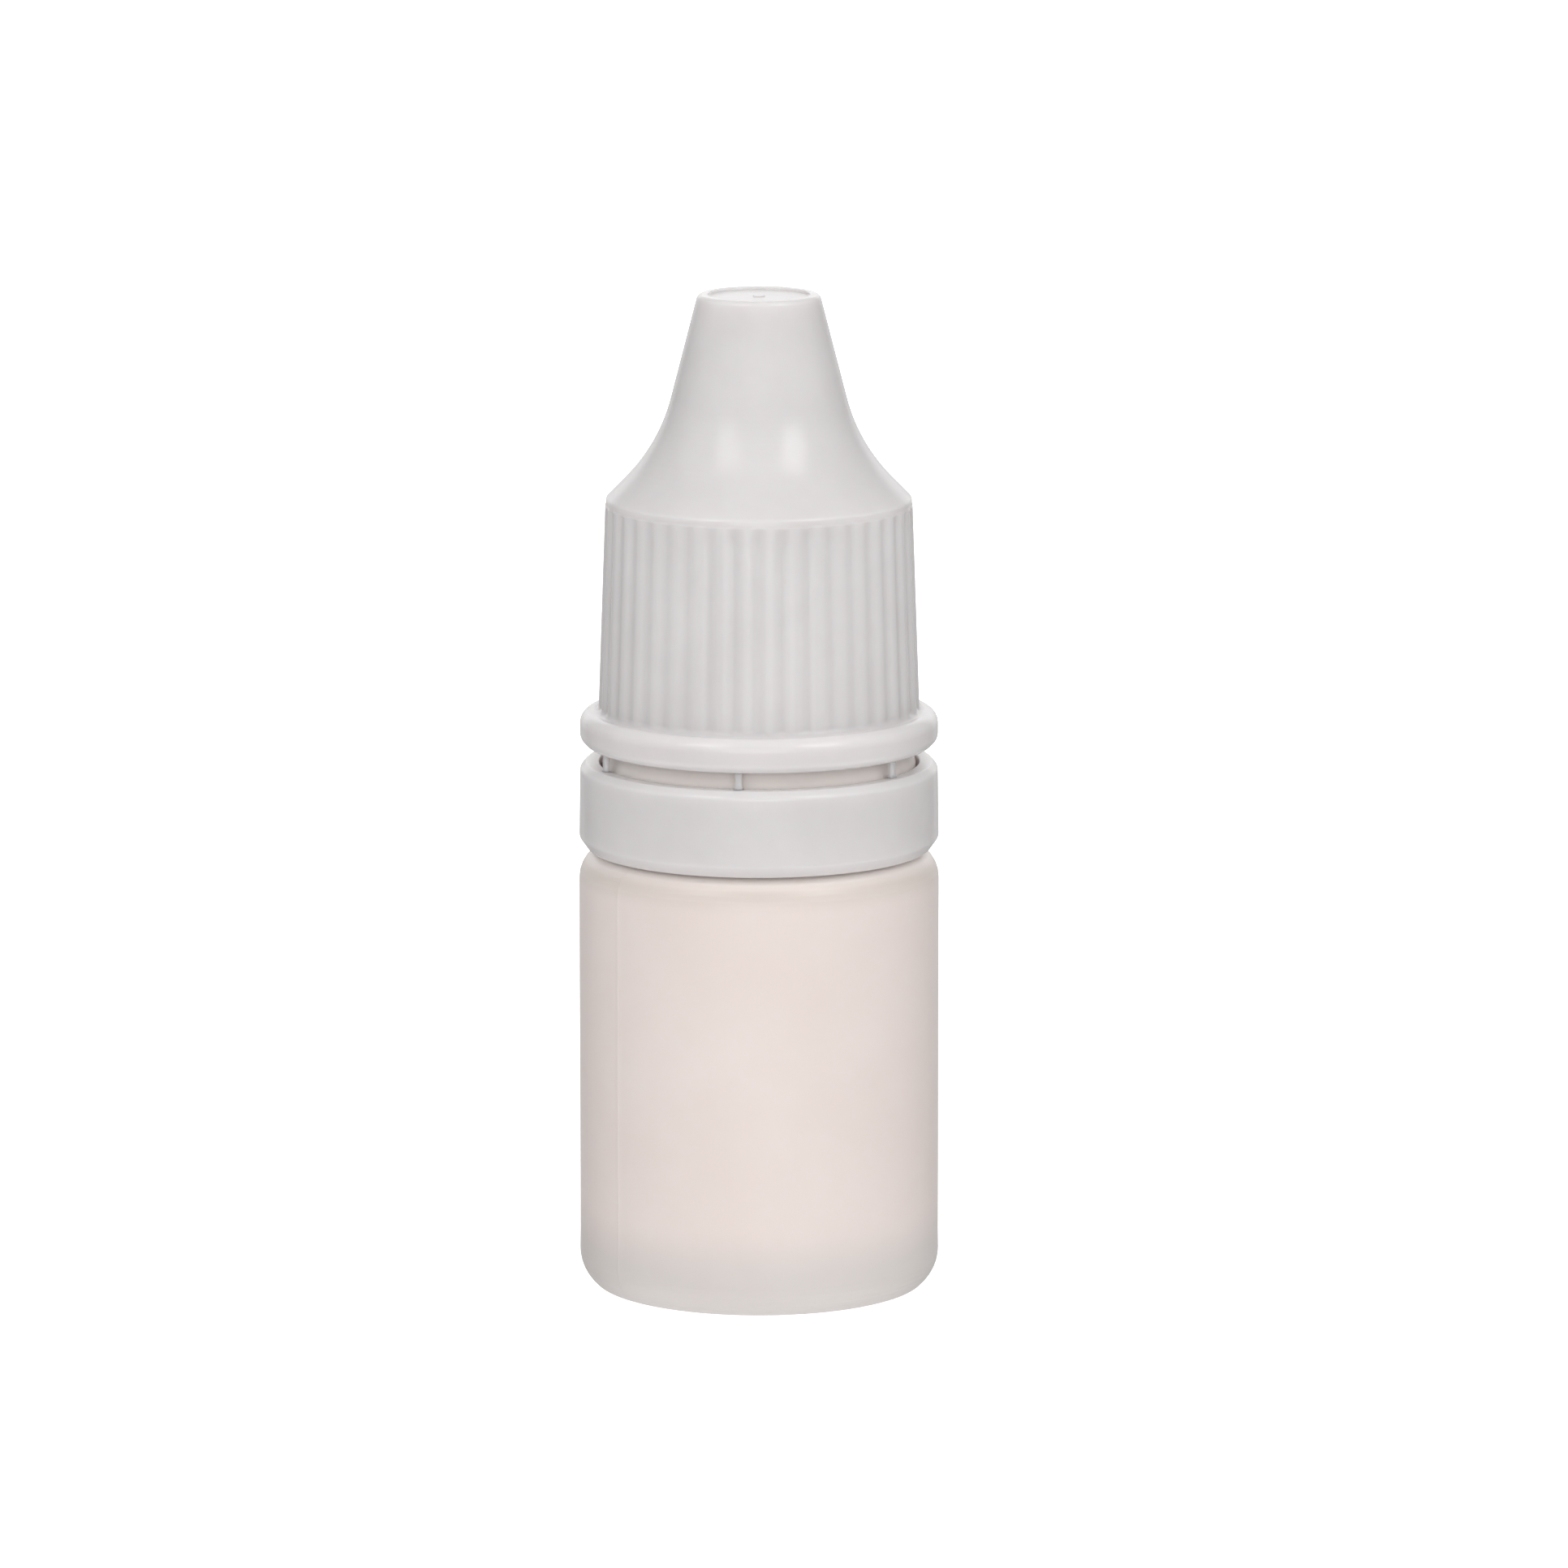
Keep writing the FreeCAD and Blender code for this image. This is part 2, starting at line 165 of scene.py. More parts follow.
BAND_RADIUS = BAND_HIGH.x
BAND_TOP_DRAFT = 0.06 * MM
BAND_BEVEL = 0.38 * MM
BAND_FOOT_BEVEL = (0.5 * MM, 0.7 * MM)
BAND_BORE_RADIUS = 9.3 * MM
LIP_RADIUS = 8.4 * MM
LIP_BEVEL = 0.35 * MM
LIP_TOP_Z = 28.4 * MM
LIP_RISE = 0.2 * MM
BRIDGE_COUNT = 6
BRIDGE_FIRST_AZIMUTH = math.radians(-6.9)
BRIDGE_RADIUS = 9.58 * MM
# Depth and width of a bridge where it meets the band, and at its thinnest.
BRIDGE_FOOT = (0.42 * MM, 0.62 * MM)
BRIDGE_WAIST = (0.3 * MM, 0.4 * MM)
BRIDGE_FLARE_POWER = 3
BRIDGE_TOP_FLARE = 0.4
BRIDGE_SQUARENESS = 0.6
BRIDGE_SIDES = 16
BRIDGE_LEVELS = 9


# --- Mesh helpers ---------------------------------------------------------------------------------
def unit(vector):
    return vector / np.linalg.norm(vector)


def rounded(corners):
    """Points (r, z) along an outline. Each corner is (r, z) or (r, z, round), its round a tangent arc."""
    points = []
    for i, (r, z, *rounds) in enumerate(corners):
        corner = np.array((r, z))
        if not rounds:
            points.append(corner)
            continue
        before = unit(np.array(corners[i - 1][:2]) - corner)
        after = unit(np.array(corners[(i + 1) % len(corners)][:2]) - corner)
        half = math.acos(float(before @ after)) / 2
        centre = corner + unit(before + after) * rounds[0] / math.sin(half)
        spoke = corner + before * rounds[0] / math.tan(half) - centre
        side = math.copysign(1, before[0] * after[1] - before[1] * after[0])
        sweep = -side * (math.pi - 2 * half)
        by_angle = math.ceil(abs(sweep) / ARC_STEP)
        by_length = math.ceil(abs(sweep) * rounds[0] / ARC_SPACING)
        steps = max(ARC_MIN_STEPS, by_angle, by_length)
        for k in range(steps + 1):
            turn = sweep * k / steps
            x = spoke[0] * math.cos(turn) - spoke[1] * math.sin(turn)
            y = spoke[0] * math.sin(turn) + spoke[1] * math.cos(turn)
            points.append(centre + (x, y))
    return points


def refined(points, closed, thread_wall=0.0):
    """The same outline with its long runs divided, finely on the upright wall that carries a thread.

    Each run also gets a point close to both its ends, so that its shading stays flat up to the corner.
    """
    rows = []
    following = points[1:] + (points[:1] if closed else [])
    for start, end in zip(points, following):
        rows.append(start)
        run = end - start
        length = np.linalg.norm(run)
        if length < 3 * HOLD:
            continue
        threaded = abs(start[0] - thread_wall) < HOLD and abs(end[0] - thread_wall) < HOLD
        steps = math.ceil(length / (THREAD_ROW_SPACING if threaded else ROW_SPACING))
        places = [HOLD / length] + [k / steps for k in range(1, steps)] + [1 - HOLD / length]
        rows += [start + run * place for place in places]
    return rows if closed else rows + [points[-1]]


def columns(count, seams=()):
    """Azimuths for a lathe's columns: evenly spaced, with a few close ones on both sides of each seam."""
    azimuths = {2 * math.pi * k / count for k in range(count)}
    for seam in seams:
        for offset in PARTING_COLUMNS:
            for side in (-1, 1):
                azimuths.add((seam + side * offset * PARTING_WIDTH / BODY_RADIUS) % (2 * math.pi))
    return np.array(sorted(azimuths))


def smoothstep(t):
    t = np.clip(t, 0, 1)
    return t * t * (3 - 2 * t)


def new_piece(name, points, faces):
    """A smooth-shaded object from points and faces, with its normals turned outwards."""
    mesh = bpy.data.meshes.new(name)
    mesh.from_pydata(points.tolist(), [], faces)
    mesh.polygons.foreach_set("use_smooth", [True] * len(mesh.polygons))
    fans = [(face[0], face[k], face[k + 1]) for face in faces for k in range(1, len(face) - 1)]
    a, b, c = (points[[fan[i] for fan in fans]] for i in range(3))
    if np.einsum("ij,ij->", a, np.cross(b, c)) < 0:
        mesh.flip_normals()
    mesh.update()
    piece = bpy.data.objects.new(name, mesh)
    bpy.context.scene.collection.objects.link(piece)
    return piece


def lathe(name, rows, azimuths, closed, relief):
    """The outline's rows (r, z) turned round the Z axis, each point then moved by relief(r, z, azimuth)."""
    r, azimuth = np.meshgrid([row[0] for row in rows], azimuths, indexing="ij")
    z = np.meshgrid([row[1] for row in rows], azimuths, indexing="ij")[0]
    r, z = relief(r, z, azimuth)
    grid = np.stack([r * np.sin(azimuth), -r * np.cos(azimuth), z], axis=-1)
    points = []
    rings = []
    for row, ring in zip(rows, grid):
        count = 1 if row[0] == 0 else len(azimuths)
        rings.append([len(points) + k % count for k in range(len(azimuths))])
        points += list(ring[:count])
    faces = []
    for lower, upper in zip(rings, rings[1:] + (rings[:1] if closed else [])):
        for k in range(len(azimuths)):
            corners = (lower[k - 1], lower[k], upper[k], upper[k - 1])
            faces.append(tuple(dict.fromkeys(corners)))
    return new_piece(name, np.array(points), faces)


def thread_height(z, azimuth, start_z, turns):
    """How far a right-handed ridge stands out of the wall. It starts on the +X side and climbs."""
    angle = (azimuth - math.pi / 2) % (2 * math.pi)
    height = np.zeros_like(z)
    for turn in range(math.ceil(turns)):
        along = angle + 2 * math.pi * turn
        off = np.abs(z - start_z - THREAD_LEAD * along / (2 * math.pi))
        flank = (THREAD_ROOT_WIDTH / 2 - off) / ((THREAD_ROOT_WIDTH - THREAD_CREST_WIDTH) / 2)
        to_end = np.minimum(along, 2 * math.pi * turns - along)
        height = np.maximum(height, smoothstep(flank) * smoothstep(to_end / THREAD_RUNOUT))
    return height * THREAD_DEPTH


# --- Pieces ---------------------------------------------------------------------------------------
def bottle_relief(r, z, azimuth):
    """Parting line, blown-wall waviness, neck thread and the weld across the base."""
    outside = (r > BODY_RADIUS - WALL / 2) & (z > HEEL_BEND_Z) & (z < SHOULDER_Z)
    upright = smoothstep((z - HEEL_BEND_Z) / HEEL_ROUND) * smoothstep((SHOULDER_Z - z) / SHOULDER_ROUND)
    standing = np.sin(WAVE_LOBES * azimuth + WAVE_PHASE) * np.sin(z / WAVE_RISE)
    wave = standing + TWIST_SHARE * np.sin(TWIST_LOBES * azimuth - z / TWIST_RISE)
    parting = np.zeros_like(r)
    for seam in (PARTING_AZIMUTH, PARTING_AZIMUTH + math.pi):
        away = (azimuth - seam + math.pi) % (2 * math.pi) - math.pi
        parting = np.maximum(parting, np.exp(-((away * r / PARTING_WIDTH) ** 2)))
    inset = PARTING_HEIGHT * (1 - parting) + SIDE_WAVE * (WAVE_MEAN + WAVE_SWING * wave)
    r = r - np.where(outside, inset * upright, 0)
    on_neck = (np.abs(r - NECK_RADIUS) < EDGE_ROUND) & (z > BEAD_TOP_Z)
    thread = thread_height(z, azimuth, NECK_THREAD_START_Z, NECK_THREAD_TURNS)
    r = r + np.where(on_neck, thread, 0)
    across = r * np.cos(azimuth - PARTING_AZIMUTH)
    weld = WELD_HEIGHT * np.exp(-((across / WELD_WIDTH) ** 2)) * smoothstep((PUSH_UP_RADIUS - r) / WALL)
    z = z - np.where(z < PUSH_UP + WELD_WIDTH, weld, 0)
    return r, z


def make_bottle():
    inner = BODY_RADIUS - WALL
    inner_shoulder = SHOULDER_Z - WALL
    corners = [
        (0, PUSH_UP),
        (PUSH_UP_RADIUS, PUSH_UP, PUSH_UP_ROUND),
        (FOOT_INNER_RADIUS, 0, SOFT_ROUND),
        (FOOT_OUTER_RADIUS, 0, FOOT_ROUND),
        (BODY_RADIUS, HEEL_BEND_Z, HEEL_ROUND),
        (BODY_RADIUS, SHOULDER_Z, SHOULDER_ROUND),
        (COLLAR_RADIUS, SHOULDER_Z, SOFT_ROUND),
        (COLLAR_RADIUS, BEAD_BOTTOM_Z, EDGE_ROUND),
        (BEAD_RADIUS, BEAD_BOTTOM_Z, EDGE_ROUND),
        (BEAD_RADIUS, BEAD_EDGE_Z, SOFT_ROUND),
        (BEAD_TOP_RADIUS, BEAD_TOP_Z, EDGE_ROUND),
        (NECK_RADIUS, BEAD_TOP_Z, SOFT_ROUND),
        (NECK_RADIUS, NECK_TOP_Z, SOFT_ROUND),
        (NECK_BORE_RADIUS, NECK_TOP_Z, EDGE_ROUND),
        (NECK_BORE_RADIUS, NECK_BORE_END_Z, THROAT_ROUND),
        (THROAT_RADIUS, THROAT_TOP_Z, THROAT_ROUND),
        (THROAT_RADIUS, inner_shoulder, THROAT_ROUND),
        (inner, inner_shoulder, SHOULDER_ROUND - WALL / 2),
        (inner, BASE_THICKNESS, HEEL_ROUND - WALL),
        (FOOT_INNER_RADIUS, BASE_THICKNESS, SOFT_ROUND),
        (PUSH_UP_RADIUS, BASE_THICKNESS + PUSH_UP, PUSH_UP_ROUND),
        (0, BASE_THICKNESS + PUSH_UP),
    ]
    rows = refined(rounded(corners), False, NECK_RADIUS)
    azimuths = columns(PLAIN_COLUMNS, (PARTING_AZIMUTH, PARTING_AZIMUTH + math.pi))
    piece = lathe("squeeze_bottle", rows, azimuths, False, bottle_relief)
    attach(piece, "bottle")
    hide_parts("bottle")
    return piece


def cap_relief(r, z, azimuth):
    """Grooves between the grip's ribs, faded out at both ends of the grip, and the thread inside."""
    up_grip = (z - FLANGE_TOP_Z) / (GRIP_TOP_Z - FLANGE_TOP_Z)
    grip_line = GRIP_BOTTOM_RADIUS + (GRIP_TOP_RADIUS - GRIP_BOTTOM_RADIUS) * up_grip
    on_grip = (np.abs(r - grip_line) < SOFT_ROUND) & (z > FLANGE_TOP_Z) & (z < GRIP_TOP_Z)
    groove = (0.5 + 0.5 * np.cos(RIB_COUNT * azimuth)) ** RIB_SHARPNESS
    ends = smoothstep((z - FLANGE_TOP_Z) / GRIP_FOOT_ROUND) * smoothstep((GRIP_TOP_Z - z) / RIB_END)
    r = r - np.where(on_grip, RIB_HEIGHT * groove * ends, 0)
    in_bore = (np.abs(r - CAP_BORE_RADIUS) < EDGE_ROUND) & (z > CAP_BOTTOM_Z + CAP_MOUTH_BEVEL)
    thread = thread_height(z, azimuth, CAP_THREAD_START_Z, CAP_THREAD_TURNS)
    r = r - np.where(in_bore, thread, 0)
    return r, z


def make_cap():
    dish_z = CAP_TOP_Z - DISH_DEPTH
    gate_z = dish_z + GATE_HEIGHT
    corners = [
        (0, gate_z),
        (GATE_RADIUS, gate_z, GATE_ROUND),
        (GATE_RADIUS, dish_z, GATE_ROUND),
        (DISH_RADIUS, dish_z, EDGE_ROUND / 2),
        (DISH_RADIUS, CAP_TOP_Z, EDGE_ROUND / 2),
        (CAP_TOP_RADIUS, CAP_TOP_Z, SOFT_ROUND),
        (WAIST_RADIUS, WAIST_Z, WAIST_ROUND),
        (PLAIN_RADIUS, CAP_CORNER_Z, CAP_CORNER_ROUND),
        (PLAIN_RADIUS, GRIP_TOP_Z, EDGE_ROUND / 2),
        (GRIP_TOP_RADIUS, GRIP_TOP_Z - RIB_END / 2, EDGE_ROUND / 2),
        (GRIP_BOTTOM_RADIUS, FLANGE_TOP_Z, GRIP_FOOT_ROUND),
        (FLANGE_RADIUS, FLANGE_TOP_Z, FLANGE_UPPER_ROUND),
        (FLANGE_RADIUS, CAP_BOTTOM_Z + FLANGE_BEVEL, FLANGE_LOWER_ROUND),
        (FLANGE_RADIUS - FLANGE_BEVEL, CAP_BOTTOM_Z, SOFT_ROUND),
        (CAP_BORE_RADIUS + CAP_MOUTH_BEVEL, CAP_BOTTOM_Z, EDGE_ROUND),
        (CAP_BORE_RADIUS, CAP_BOTTOM_Z + CAP_MOUTH_BEVEL, EDGE_ROUND),
        (CAP_BORE_RADIUS, CAP_CORNER_Z - CAP_WALL, SOFT_ROUND),
        (WAIST_RADIUS - CAP_WALL, WAIST_Z - CAP_WALL / 2, WAIST_ROUND),
        (CEILING_RADIUS, CEILING_Z, SOFT_ROUND),
        (PIN_RADIUS, CEILING_Z, EDGE_ROUND),
        (PIN_RADIUS, PIN_SHOULDER_Z, EDGE_ROUND),
        (PIN_END_RADIUS, PIN_END_Z, EDGE_ROUND),
        (0, PIN_END_Z),
    ]
    rows = refined(rounded(corners), False, CAP_BORE_RADIUS)
    azimuths = columns(RIB_COUNT * COLUMNS_PER_RIB)
    piece = lathe("screw_cap", rows, azimuths, False, cap_relief)
    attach(piece, "cap")
    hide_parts("cap")
    return piece


def no_relief(r, z, azimuth):
    return r, z


def make_band():
    bottom = BAND_LOW.z
    top = BAND_HIGH.z
    bevel_width, bevel_height = BAND_FOOT_BEVEL
    corners = [
        (LIP_RADIUS, bottom + LIP_BEVEL, EDGE_ROUND),
        (LIP_RADIUS + LIP_BEVEL, bottom, EDGE_ROUND),
        (BAND_RADIUS - bevel_width, bottom, EDGE_ROUND),
        (BAND_RADIUS, bottom + bevel_height, SOFT_ROUND),
        (BAND_RADIUS - BAND_TOP_DRAFT, top - BAND_BEVEL, SOFT_ROUND),
        (BAND_RADIUS - BAND_BEVEL, top, EDGE_ROUND),
        (BAND_BORE_RADIUS, top, EDGE_ROUND / 2),
        (BAND_BORE_RADIUS, LIP_TOP_Z + LIP_RISE, EDGE_ROUND),
        (LIP_RADIUS, LIP_TOP_Z, EDGE_ROUND),
    ]
    rows = refined(rounded(corners), True)
    piece = lathe("tamper_ring", rows, columns(PLAIN_COLUMNS), True, no_relief)
    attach(piece, "tamper_band")
    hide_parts("tamper_band")
    return piece


def squared(value):
    """A circle's sine or cosine turned into that of a rounded square."""
    return math.copysign(abs(value) ** BRIDGE_SQUARENESS, value)


def make_bridges():
    """Small posts with flared roots between the band and the cap, as one piece."""
    points = []
    faces = []
    for i in range(BRIDGE_COUNT):
        azimuth = BRIDGE_FIRST_AZIMUTH + 2 * math.pi * i / BRIDGE_COUNT
        outward = np.array((math.sin(azimuth), -math.cos(azimuth), 0))
        sideways = np.array((math.cos(azimuth), math.sin(azimuth), 0))
        rings = []
        for level in range(BRIDGE_LEVELS):
            height = level / (BRIDGE_LEVELS - 1)
            z = BRIDGE_LOW.z + (BRIDGE_HIGH.z - BRIDGE_LOW.z) * height
            flare = abs(2 * height - 1) ** BRIDGE_FLARE_POWER
            flare = flare if height < 0.5 else flare * BRIDGE_TOP_FLARE
            depth, width = (w + (foot - w) * flare for w, foot in zip(BRIDGE_WAIST, BRIDGE_FOOT))
            rings.append([len(points) + k for k in range(BRIDGE_SIDES)])
            for k in range(BRIDGE_SIDES):
                turn = 2 * math.pi * k / BRIDGE_SIDES
                x = squared(math.cos(turn)) * depth / 2
                y = squared(math.sin(turn)) * width / 2
                points.append(outward * (BRIDGE_RADIUS + x) + sideways * y + np.array((0, 0, z)))
        for lower, upper in zip(rings, rings[1:]):
            for k in range(BRIDGE_SIDES):
                after = (k + 1) % BRIDGE_SIDES
                faces.append((lower[k], lower[after], upper[after], upper[k]))
        faces.append(tuple(reversed(rings[0])))
        faces.append(tuple(rings[-1]))
    piece = new_piece("bridges", np.array(points), faces)
    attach(piece, "tamper_band")
    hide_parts("band_bridges")
    return piece


# --- Materials ------------------------------------------------------------------------------------
# Noise scales are in cells per metre.
CLOUD_SCALE = 130
CLOUD_DETAIL = 5
CLOUD_FINENESS = 0.6
CLOUD_LOW = 0.3
CLOUD_HIGH = 0.7
SMEAR_SCALE = 420
SMEAR_DETAIL = 3
GRAIN_SCALE = 2600
GRAIN_DETAIL = 2
GRAIN_DEPTH = 0.02 * MM

# Factors that paint light and shade into the bottle's colour, and the heights at which they hold: painted
# shade over the thick base and on the shoulder, a painted glow on the neck.
NO_TINT = (1.0, 1.0, 1.0)
# Painted shade: the base greyer and darker, where less light comes through the thick plastic.
BASE_PAINTED_SHADE = (0.87, 0.91, 0.92)
# Painted shade: a darker band on the rounded shoulder.
SHOULDER_PAINTED_SHADE = (0.86, 0.87, 0.85)
# Painted glow: the neck, the bead and the crevice under the tamper band paler, as if lit from inside the
# translucent plastic.
NECK_PAINTED_GLOW = (1.06, 1.08, 1.08)
PAINTED_LIGHT_BY_HEIGHT = (
    (2.2 * MM, BASE_PAINTED_SHADE),
    (5.4 * MM, NO_TINT),
    (23.6 * MM, NO_TINT),
    (24.9 * MM, SHOULDER_PAINTED_SHADE),
    (25.5 * MM, NECK_PAINTED_GLOW),
)


def plastic(name, tones, roughness, grain, ior, scatter, scatter_depth):
    """A moulded plastic: clouded between two tones, uneven gloss, fine grain, light scattered inside."""
    material = bpy.data.materials.new(name)
    material.use_nodes = True
    nodes = material.node_tree.nodes
    links = material.node_tree.links
    shader = nodes["Principled BSDF"]
    shader.inputs["IOR"].default_value = ior
    shader.inputs["Subsurface Weight"].default_value = 1.0
    shader.inputs["Subsurface Radius"].default_value = scatter
    shader.inputs["Subsurface Scale"].default_value = scatter_depth
    place = nodes.new("ShaderNodeTexCoord")

    def noise(scale, detail):
        texture = nodes.new("ShaderNodeTexNoise")
        texture.inputs["Scale"].default_value = scale
        texture.inputs["Detail"].default_value = detail
        links.new(place.outputs["Object"], texture.inputs["Vector"])
        return texture

    cloud = noise(CLOUD_SCALE, CLOUD_DETAIL)
    cloud.inputs["Roughness"].default_value = CLOUD_FINENESS
    colour = nodes.new("ShaderNodeValToRGB")
    for stop, position, tone in zip(colour.color_ramp.elements, (CLOUD_LOW, CLOUD_HIGH), tones):
        stop.position = position
        stop.color = (*tone, 1)
    links.new(cloud.outputs["Fac"], colour.inputs["Fac"])
    links.new(colour.outputs["Color"], shader.inputs["Base Color"])
    smear = noise(SMEAR_SCALE, SMEAR_DETAIL)
    gloss = nodes.new("ShaderNodeMapRange")
    gloss.inputs["To Min"].default_value = roughness[0]
    gloss.inputs["To Max"].default_value = roughness[1]
    links.new(smear.outputs["Fac"], gloss.inputs["Value"])
    links.new(gloss.outputs["Result"], shader.inputs["Roughness"])
    fine = noise(GRAIN_SCALE, GRAIN_DETAIL)
    bump = nodes.new("ShaderNodeBump")
    bump.inputs["Strength"].default_value = grain
    bump.inputs["Distance"].default_value = GRAIN_DEPTH
    links.new(fine.outputs["Fac"], bump.inputs["Height"])
    links.new(bump.outputs["Normal"], shader.inputs["Normal"])
    return material


def paint_light_by_height(material):
    """Paint light and shade into the plastic's colour along Z: painted shade over the thick base and on the
    shoulder, a painted glow on the neck.
    """
    nodes = material.node_tree.nodes
    links = material.node_tree.links
    base_colour = nodes["Principled BSDF"].inputs["Base Color"]
    place = nodes.new("ShaderNodeTexCoord")
    position = nodes.new("ShaderNodeSeparateXYZ")
    links.new(place.outputs["Object"], position.inputs["Vector"])
    height = nodes.new("ShaderNodeMapRange")
    height.inputs["From Max"].default_value = NECK_TOP_Z
    links.new(position.outputs["Z"], height.inputs["Value"])
    tone = nodes.new("ShaderNodeValToRGB")
    tone.color_ramp.interpolation = "EASE"
    for _ in range(len(PAINTED_LIGHT_BY_HEIGHT) - len(tone.color_ramp.elements)):
        tone.color_ramp.elements.new(0.5)
    for element, (z, painted_factor) in zip(tone.color_ramp.elements, PAINTED_LIGHT_BY_HEIGHT):
        element.position = z / NECK_TOP_Z
        element.color = (*painted_factor, 1)
    links.new(height.outputs["Result"], tone.inputs["Fac"])
    painted_colour = nodes.new("ShaderNodeVectorMath")
    painted_colour.operation = "MULTIPLY"
    links.new(base_colour.links[0].from_socket, painted_colour.inputs[0])
    links.new(tone.outputs["Color"], painted_colour.inputs[1])
    links.new(painted_colour.outputs["Vector"], base_colour)


def cap_material():
    return plastic(
        "white_moulded_plastic",
        tones=((0.71, 0.685, 0.685), (0.77, 0.745, 0.745)),
        roughness=(0.18, 0.26),
        grain=0.35,
        ior=1.5,
        scatter=(1.0, 0.9, 0.85),
        scatter_depth=1.5 * MM,
    )


def bottle_material():
    material = plastic(
        "milky_soft_plastic",
        tones=((0.86, 0.77, 0.735), (0.89, 0.805, 0.77)),
        roughness=(0.3, 0.4),
        grain=0.3,
        ior=1.51,
        scatter=(1.0, 0.95, 0.9),
        scatter_depth=0.5 * MM,
    )
    # Painted shade over the base and the shoulder, and a painted glow on the neck, put into the colour by
    # height.
    paint_light_by_height(material)
    return material


def tip_material():
    return plastic(
        "milky_tip_plastic",
        tones=((0.89, 0.855, 0.83), (0.92, 0.89, 0.865)),
        roughness=(0.3, 0.42),
        grain=0.3,
        ior=1.51,
        scatter=(1.0, 0.95, 0.9),
        scatter_depth=0.8 * MM,
    )


def dress(piece, material):
    piece.data.materials.clear()
    piece.data.materials.append(material)


# --- Studio ---------------------------------------------------------------------------------------
FLOOR_HALF = 3.0
FLOOR_COLOUR = (0.92, 0.92, 0.92, 1)
FLOOR_ROUGHNESS = 0.9
FLOOR_GLOW = 0.9

# The tent's light by height: direction Z runs from -1, straight down, to 1, straight up.
SKY_STRENGTH = 0.8
GROUND_STRENGTH = 0.2
SKY_EDGE = 0.0
SKY_BLEND = 0.35
BOUNCE_STRENGTH = 1.1
BOUNCE_EDGE = -0.55
BOUNCE_BLEND = 0.15

# The tent's light by side: direction Y runs from -1, towards the camera, to 1, behind the object.
REAR_SHARE = 0.5
TENT_EDGE = 0.2
TENT_BLEND = 0.06
HALO_SHARE = 1.3
HALO_EDGE = 0.86
HALO_BLEND = 0.06

BACKDROP_STRENGTH = 1.0

# Softboxes: distances and sizes in metres, angles in degrees, powers in watts.
KEY_DISTANCE = 0.9
KEY_ELEVATION = 43
KEY_WIDTH = 0.34
KEY_HEIGHT = 0.47
LEFT_AZIMUTH = -43
RIGHT_AZIMUTH = 47
LEFT_POWER = 1.05
RIGHT_POWER = 1.45
FRONT_AZIMUTH = 0
FRONT_DISTANCE = 1.3
FRONT_ELEVATION = 6
FRONT_WIDTH = 0.9
FRONT_HEIGHT = 0.6
FRONT_POWER = 2.5


def floor_material():
    material = bpy.data.materials.new("pale_floor")
    material.use_nodes = True
    shader = material.node_tree.nodes["Principled BSDF"]
    shader.inputs["Base Color"].default_value = FLOOR_COLOUR
    shader.inputs["Roughness"].default_value = FLOOR_ROUGHNESS
    shader.inputs["Specular IOR Level"].default_value = 0.0
    shader.inputs["Emission Color"].default_value = (1, 1, 1, 1)
    shader.inputs["Emission Strength"].default_value = FLOOR_GLOW
    return material


def make_floor():
    """A pale floor that the camera sees, and that neither lights nor shades the object."""
    corners = [
        (-FLOOR_HALF, -FLOOR_HALF, 0),
        (FLOOR_HALF, -FLOOR_HALF, 0),
        (FLOOR_HALF, FLOOR_HALF, 0),
        (-FLOOR_HALF, FLOOR_HALF, 0),
    ]
    mesh = bpy.data.meshes.new("floor")
    mesh.from_pydata(corners, [], [(0, 1, 2, 3)])
    floor = bpy.data.objects.new("floor", mesh)
    bpy.context.scene.collection.objects.link(floor)
    dress(floor, floor_material())
    floor.visible_diffuse = False
    floor.visible_glossy = False
    floor.visible_shadow = False


def softbox(name, azimuth_deg, elevation_deg, distance, width, height, power):
    """A rectangular lamp that looks at the middle of the object."""
    lamp = bpy.data.lights.new(name, "AREA")
    lamp.shape = "RECTANGLE"
    lamp.size = width
    lamp.size_y = height
    lamp.energy = power
    azimuth = math.radians(azimuth_deg)
    elevation = math.radians(elevation_deg)
    level = math.cos(elevation)
    away = Vector((math.sin(azimuth) * level, -math.cos(azimuth) * level, math.sin(elevation)))
    holder = bpy.data.objects.new(name, lamp)
    holder.location = Vector((0, 0, CAP_TOP_Z / 2)) + away * distance
    holder.rotation_euler = away.to_track_quat("Z", "Y").to_euler()
    bpy.context.scene.collection.objects.link(holder)


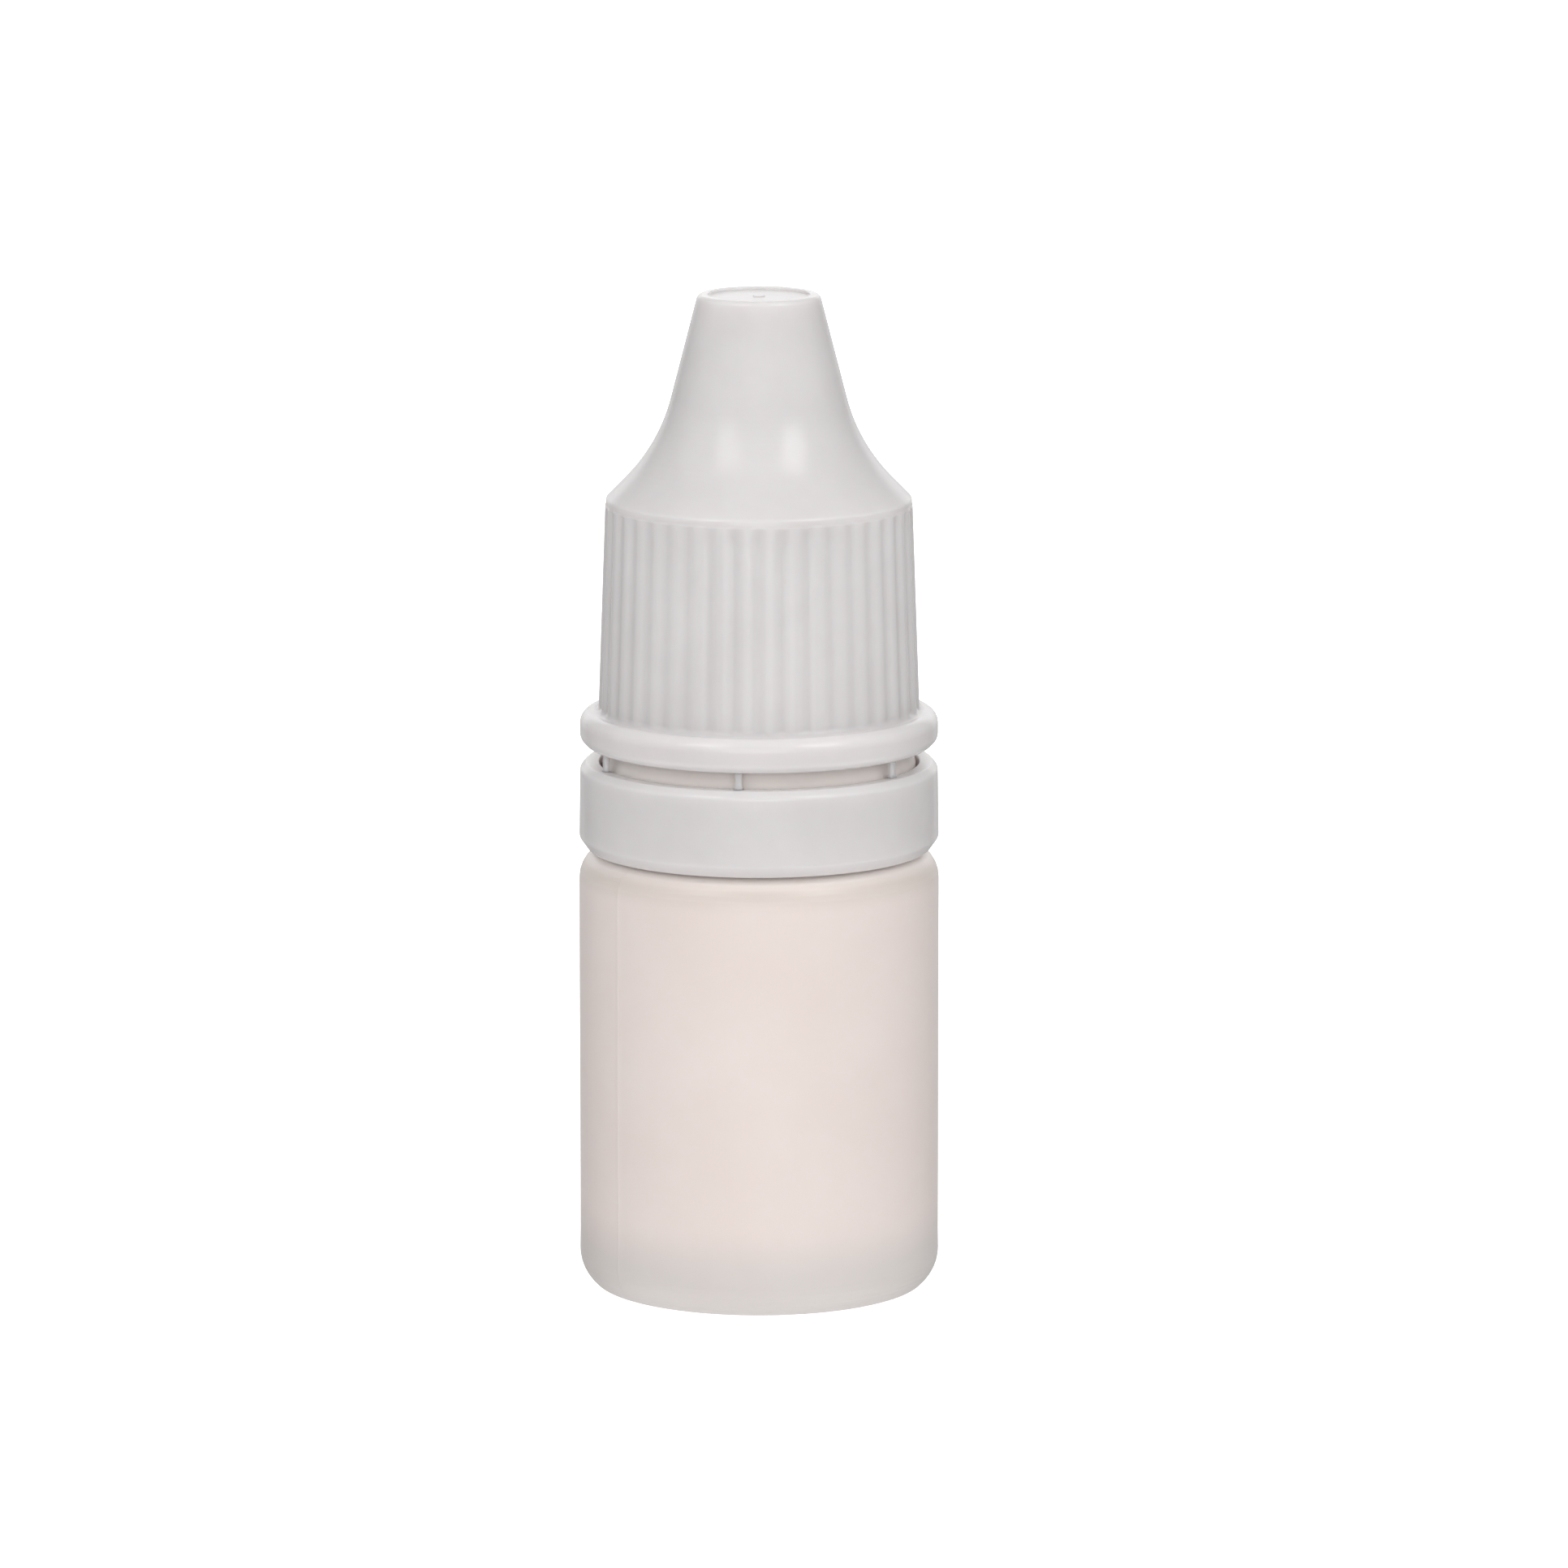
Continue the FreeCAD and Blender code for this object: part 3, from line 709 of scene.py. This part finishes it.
def light_studio():
    """A light tent, two softboxes above and one in front.

    The tent's strength is a profile by height times a profile by side: brighter above than below but for
    the light from straight below, and weaker behind but for a bright patch straight behind. The camera
    itself sees a plain white backdrop.
    """
    world = bpy.data.worlds.new("studio")
    world.use_nodes = True
    nodes = world.node_tree.nodes
    links = world.node_tree.links
    background = nodes["Background"]
    background.inputs["Color"].default_value = (1, 1, 1, 1)
    place = nodes.new("ShaderNodeTexCoord")
    direction = nodes.new("ShaderNodeSeparateXYZ")
    links.new(place.outputs["Generated"], direction.inputs["Vector"])

    def soft_step(axis, edge, blend, before, after):
        """A value that goes smoothly from before to after as the direction passes the edge."""
        step = nodes.new("ShaderNodeMapRange")
        step.interpolation_type = "SMOOTHSTEP"
        step.inputs["From Min"].default_value = edge - blend
        step.inputs["From Max"].default_value = edge + blend
        step.inputs["To Min"].default_value = before
        step.inputs["To Max"].default_value = after
        links.new(direction.outputs[axis], step.inputs["Value"])
        return step.outputs["Result"]

    def combine(operation, first, second):
        node = nodes.new("ShaderNodeMath")
        node.operation = operation
        links.new(first, node.inputs[0])
        links.new(second, node.inputs[1])
        return node.outputs["Value"]

    sky = soft_step("Z", SKY_EDGE, SKY_BLEND, GROUND_STRENGTH, SKY_STRENGTH)
    bounce = soft_step("Z", BOUNCE_EDGE, BOUNCE_BLEND, BOUNCE_STRENGTH, 0.0)
    tent = soft_step("Y", TENT_EDGE, TENT_BLEND, 1.0, REAR_SHARE)
    halo = soft_step("Y", HALO_EDGE, HALO_BLEND, 0.0, HALO_SHARE)
    glow = combine("MULTIPLY", combine("ADD", sky, bounce), combine("ADD", tent, halo))
    path = nodes.new("ShaderNodeLightPath")
    strength = nodes.new("ShaderNodeMapRange")
    strength.inputs["To Max"].default_value = BACKDROP_STRENGTH
    links.new(path.outputs["Is Camera Ray"], strength.inputs["Value"])
    links.new(glow, strength.inputs["To Min"])
    links.new(strength.outputs["Result"], background.inputs["Strength"])
    bpy.context.scene.world = world
    key = (KEY_ELEVATION, KEY_DISTANCE, KEY_WIDTH, KEY_HEIGHT)
    front = (FRONT_ELEVATION, FRONT_DISTANCE, FRONT_WIDTH, FRONT_HEIGHT)
    softbox("softbox_left", LEFT_AZIMUTH, *key, LEFT_POWER)
    softbox("softbox_right", RIGHT_AZIMUTH, *key, RIGHT_POWER)
    softbox("softbox_front", FRONT_AZIMUTH, *front, FRONT_POWER)
    bpy.context.scene.view_settings.view_transform = "Standard"


# --- Camera ---------------------------------------------------------------------------------------
CAMERA_DISTANCE = 0.595
CAMERA_HEIGHT = 0.1395
CAMERA_LENS_MM = 238.9
CAMERA_SENSOR_MM = 36.0
CAMERA_CLIP_START = 0.05
CAMERA_CLIP_END = 20.0
AIM_X = 1.45 * MM
AIM_Z = 29.5 * MM


def make_camera():
    data = bpy.data.cameras.new("camera")
    data.lens = CAMERA_LENS_MM
    data.sensor_width = CAMERA_SENSOR_MM
    data.clip_start = CAMERA_CLIP_START
    data.clip_end = CAMERA_CLIP_END
    camera = bpy.data.objects.new("camera", data)
    camera.location = (AIM_X, -CAMERA_DISTANCE, CAMERA_HEIGHT)
    gaze = Vector((AIM_X, 0, AIM_Z)) - camera.location
    camera.rotation_euler = gaze.to_track_quat("-Z", "Y").to_euler()
    bpy.context.scene.collection.objects.link(camera)
    bpy.context.scene.camera = camera


def main():
    cap_plastic = cap_material()
    dress(make_bottle(), bottle_material())
    dress(make_cap(), cap_plastic)
    dress(make_band(), cap_plastic)
    dress(make_bridges(), cap_plastic)
    dress(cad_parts["dropper_tip"], tip_material())
    make_floor()
    light_studio()
    make_camera()


main()
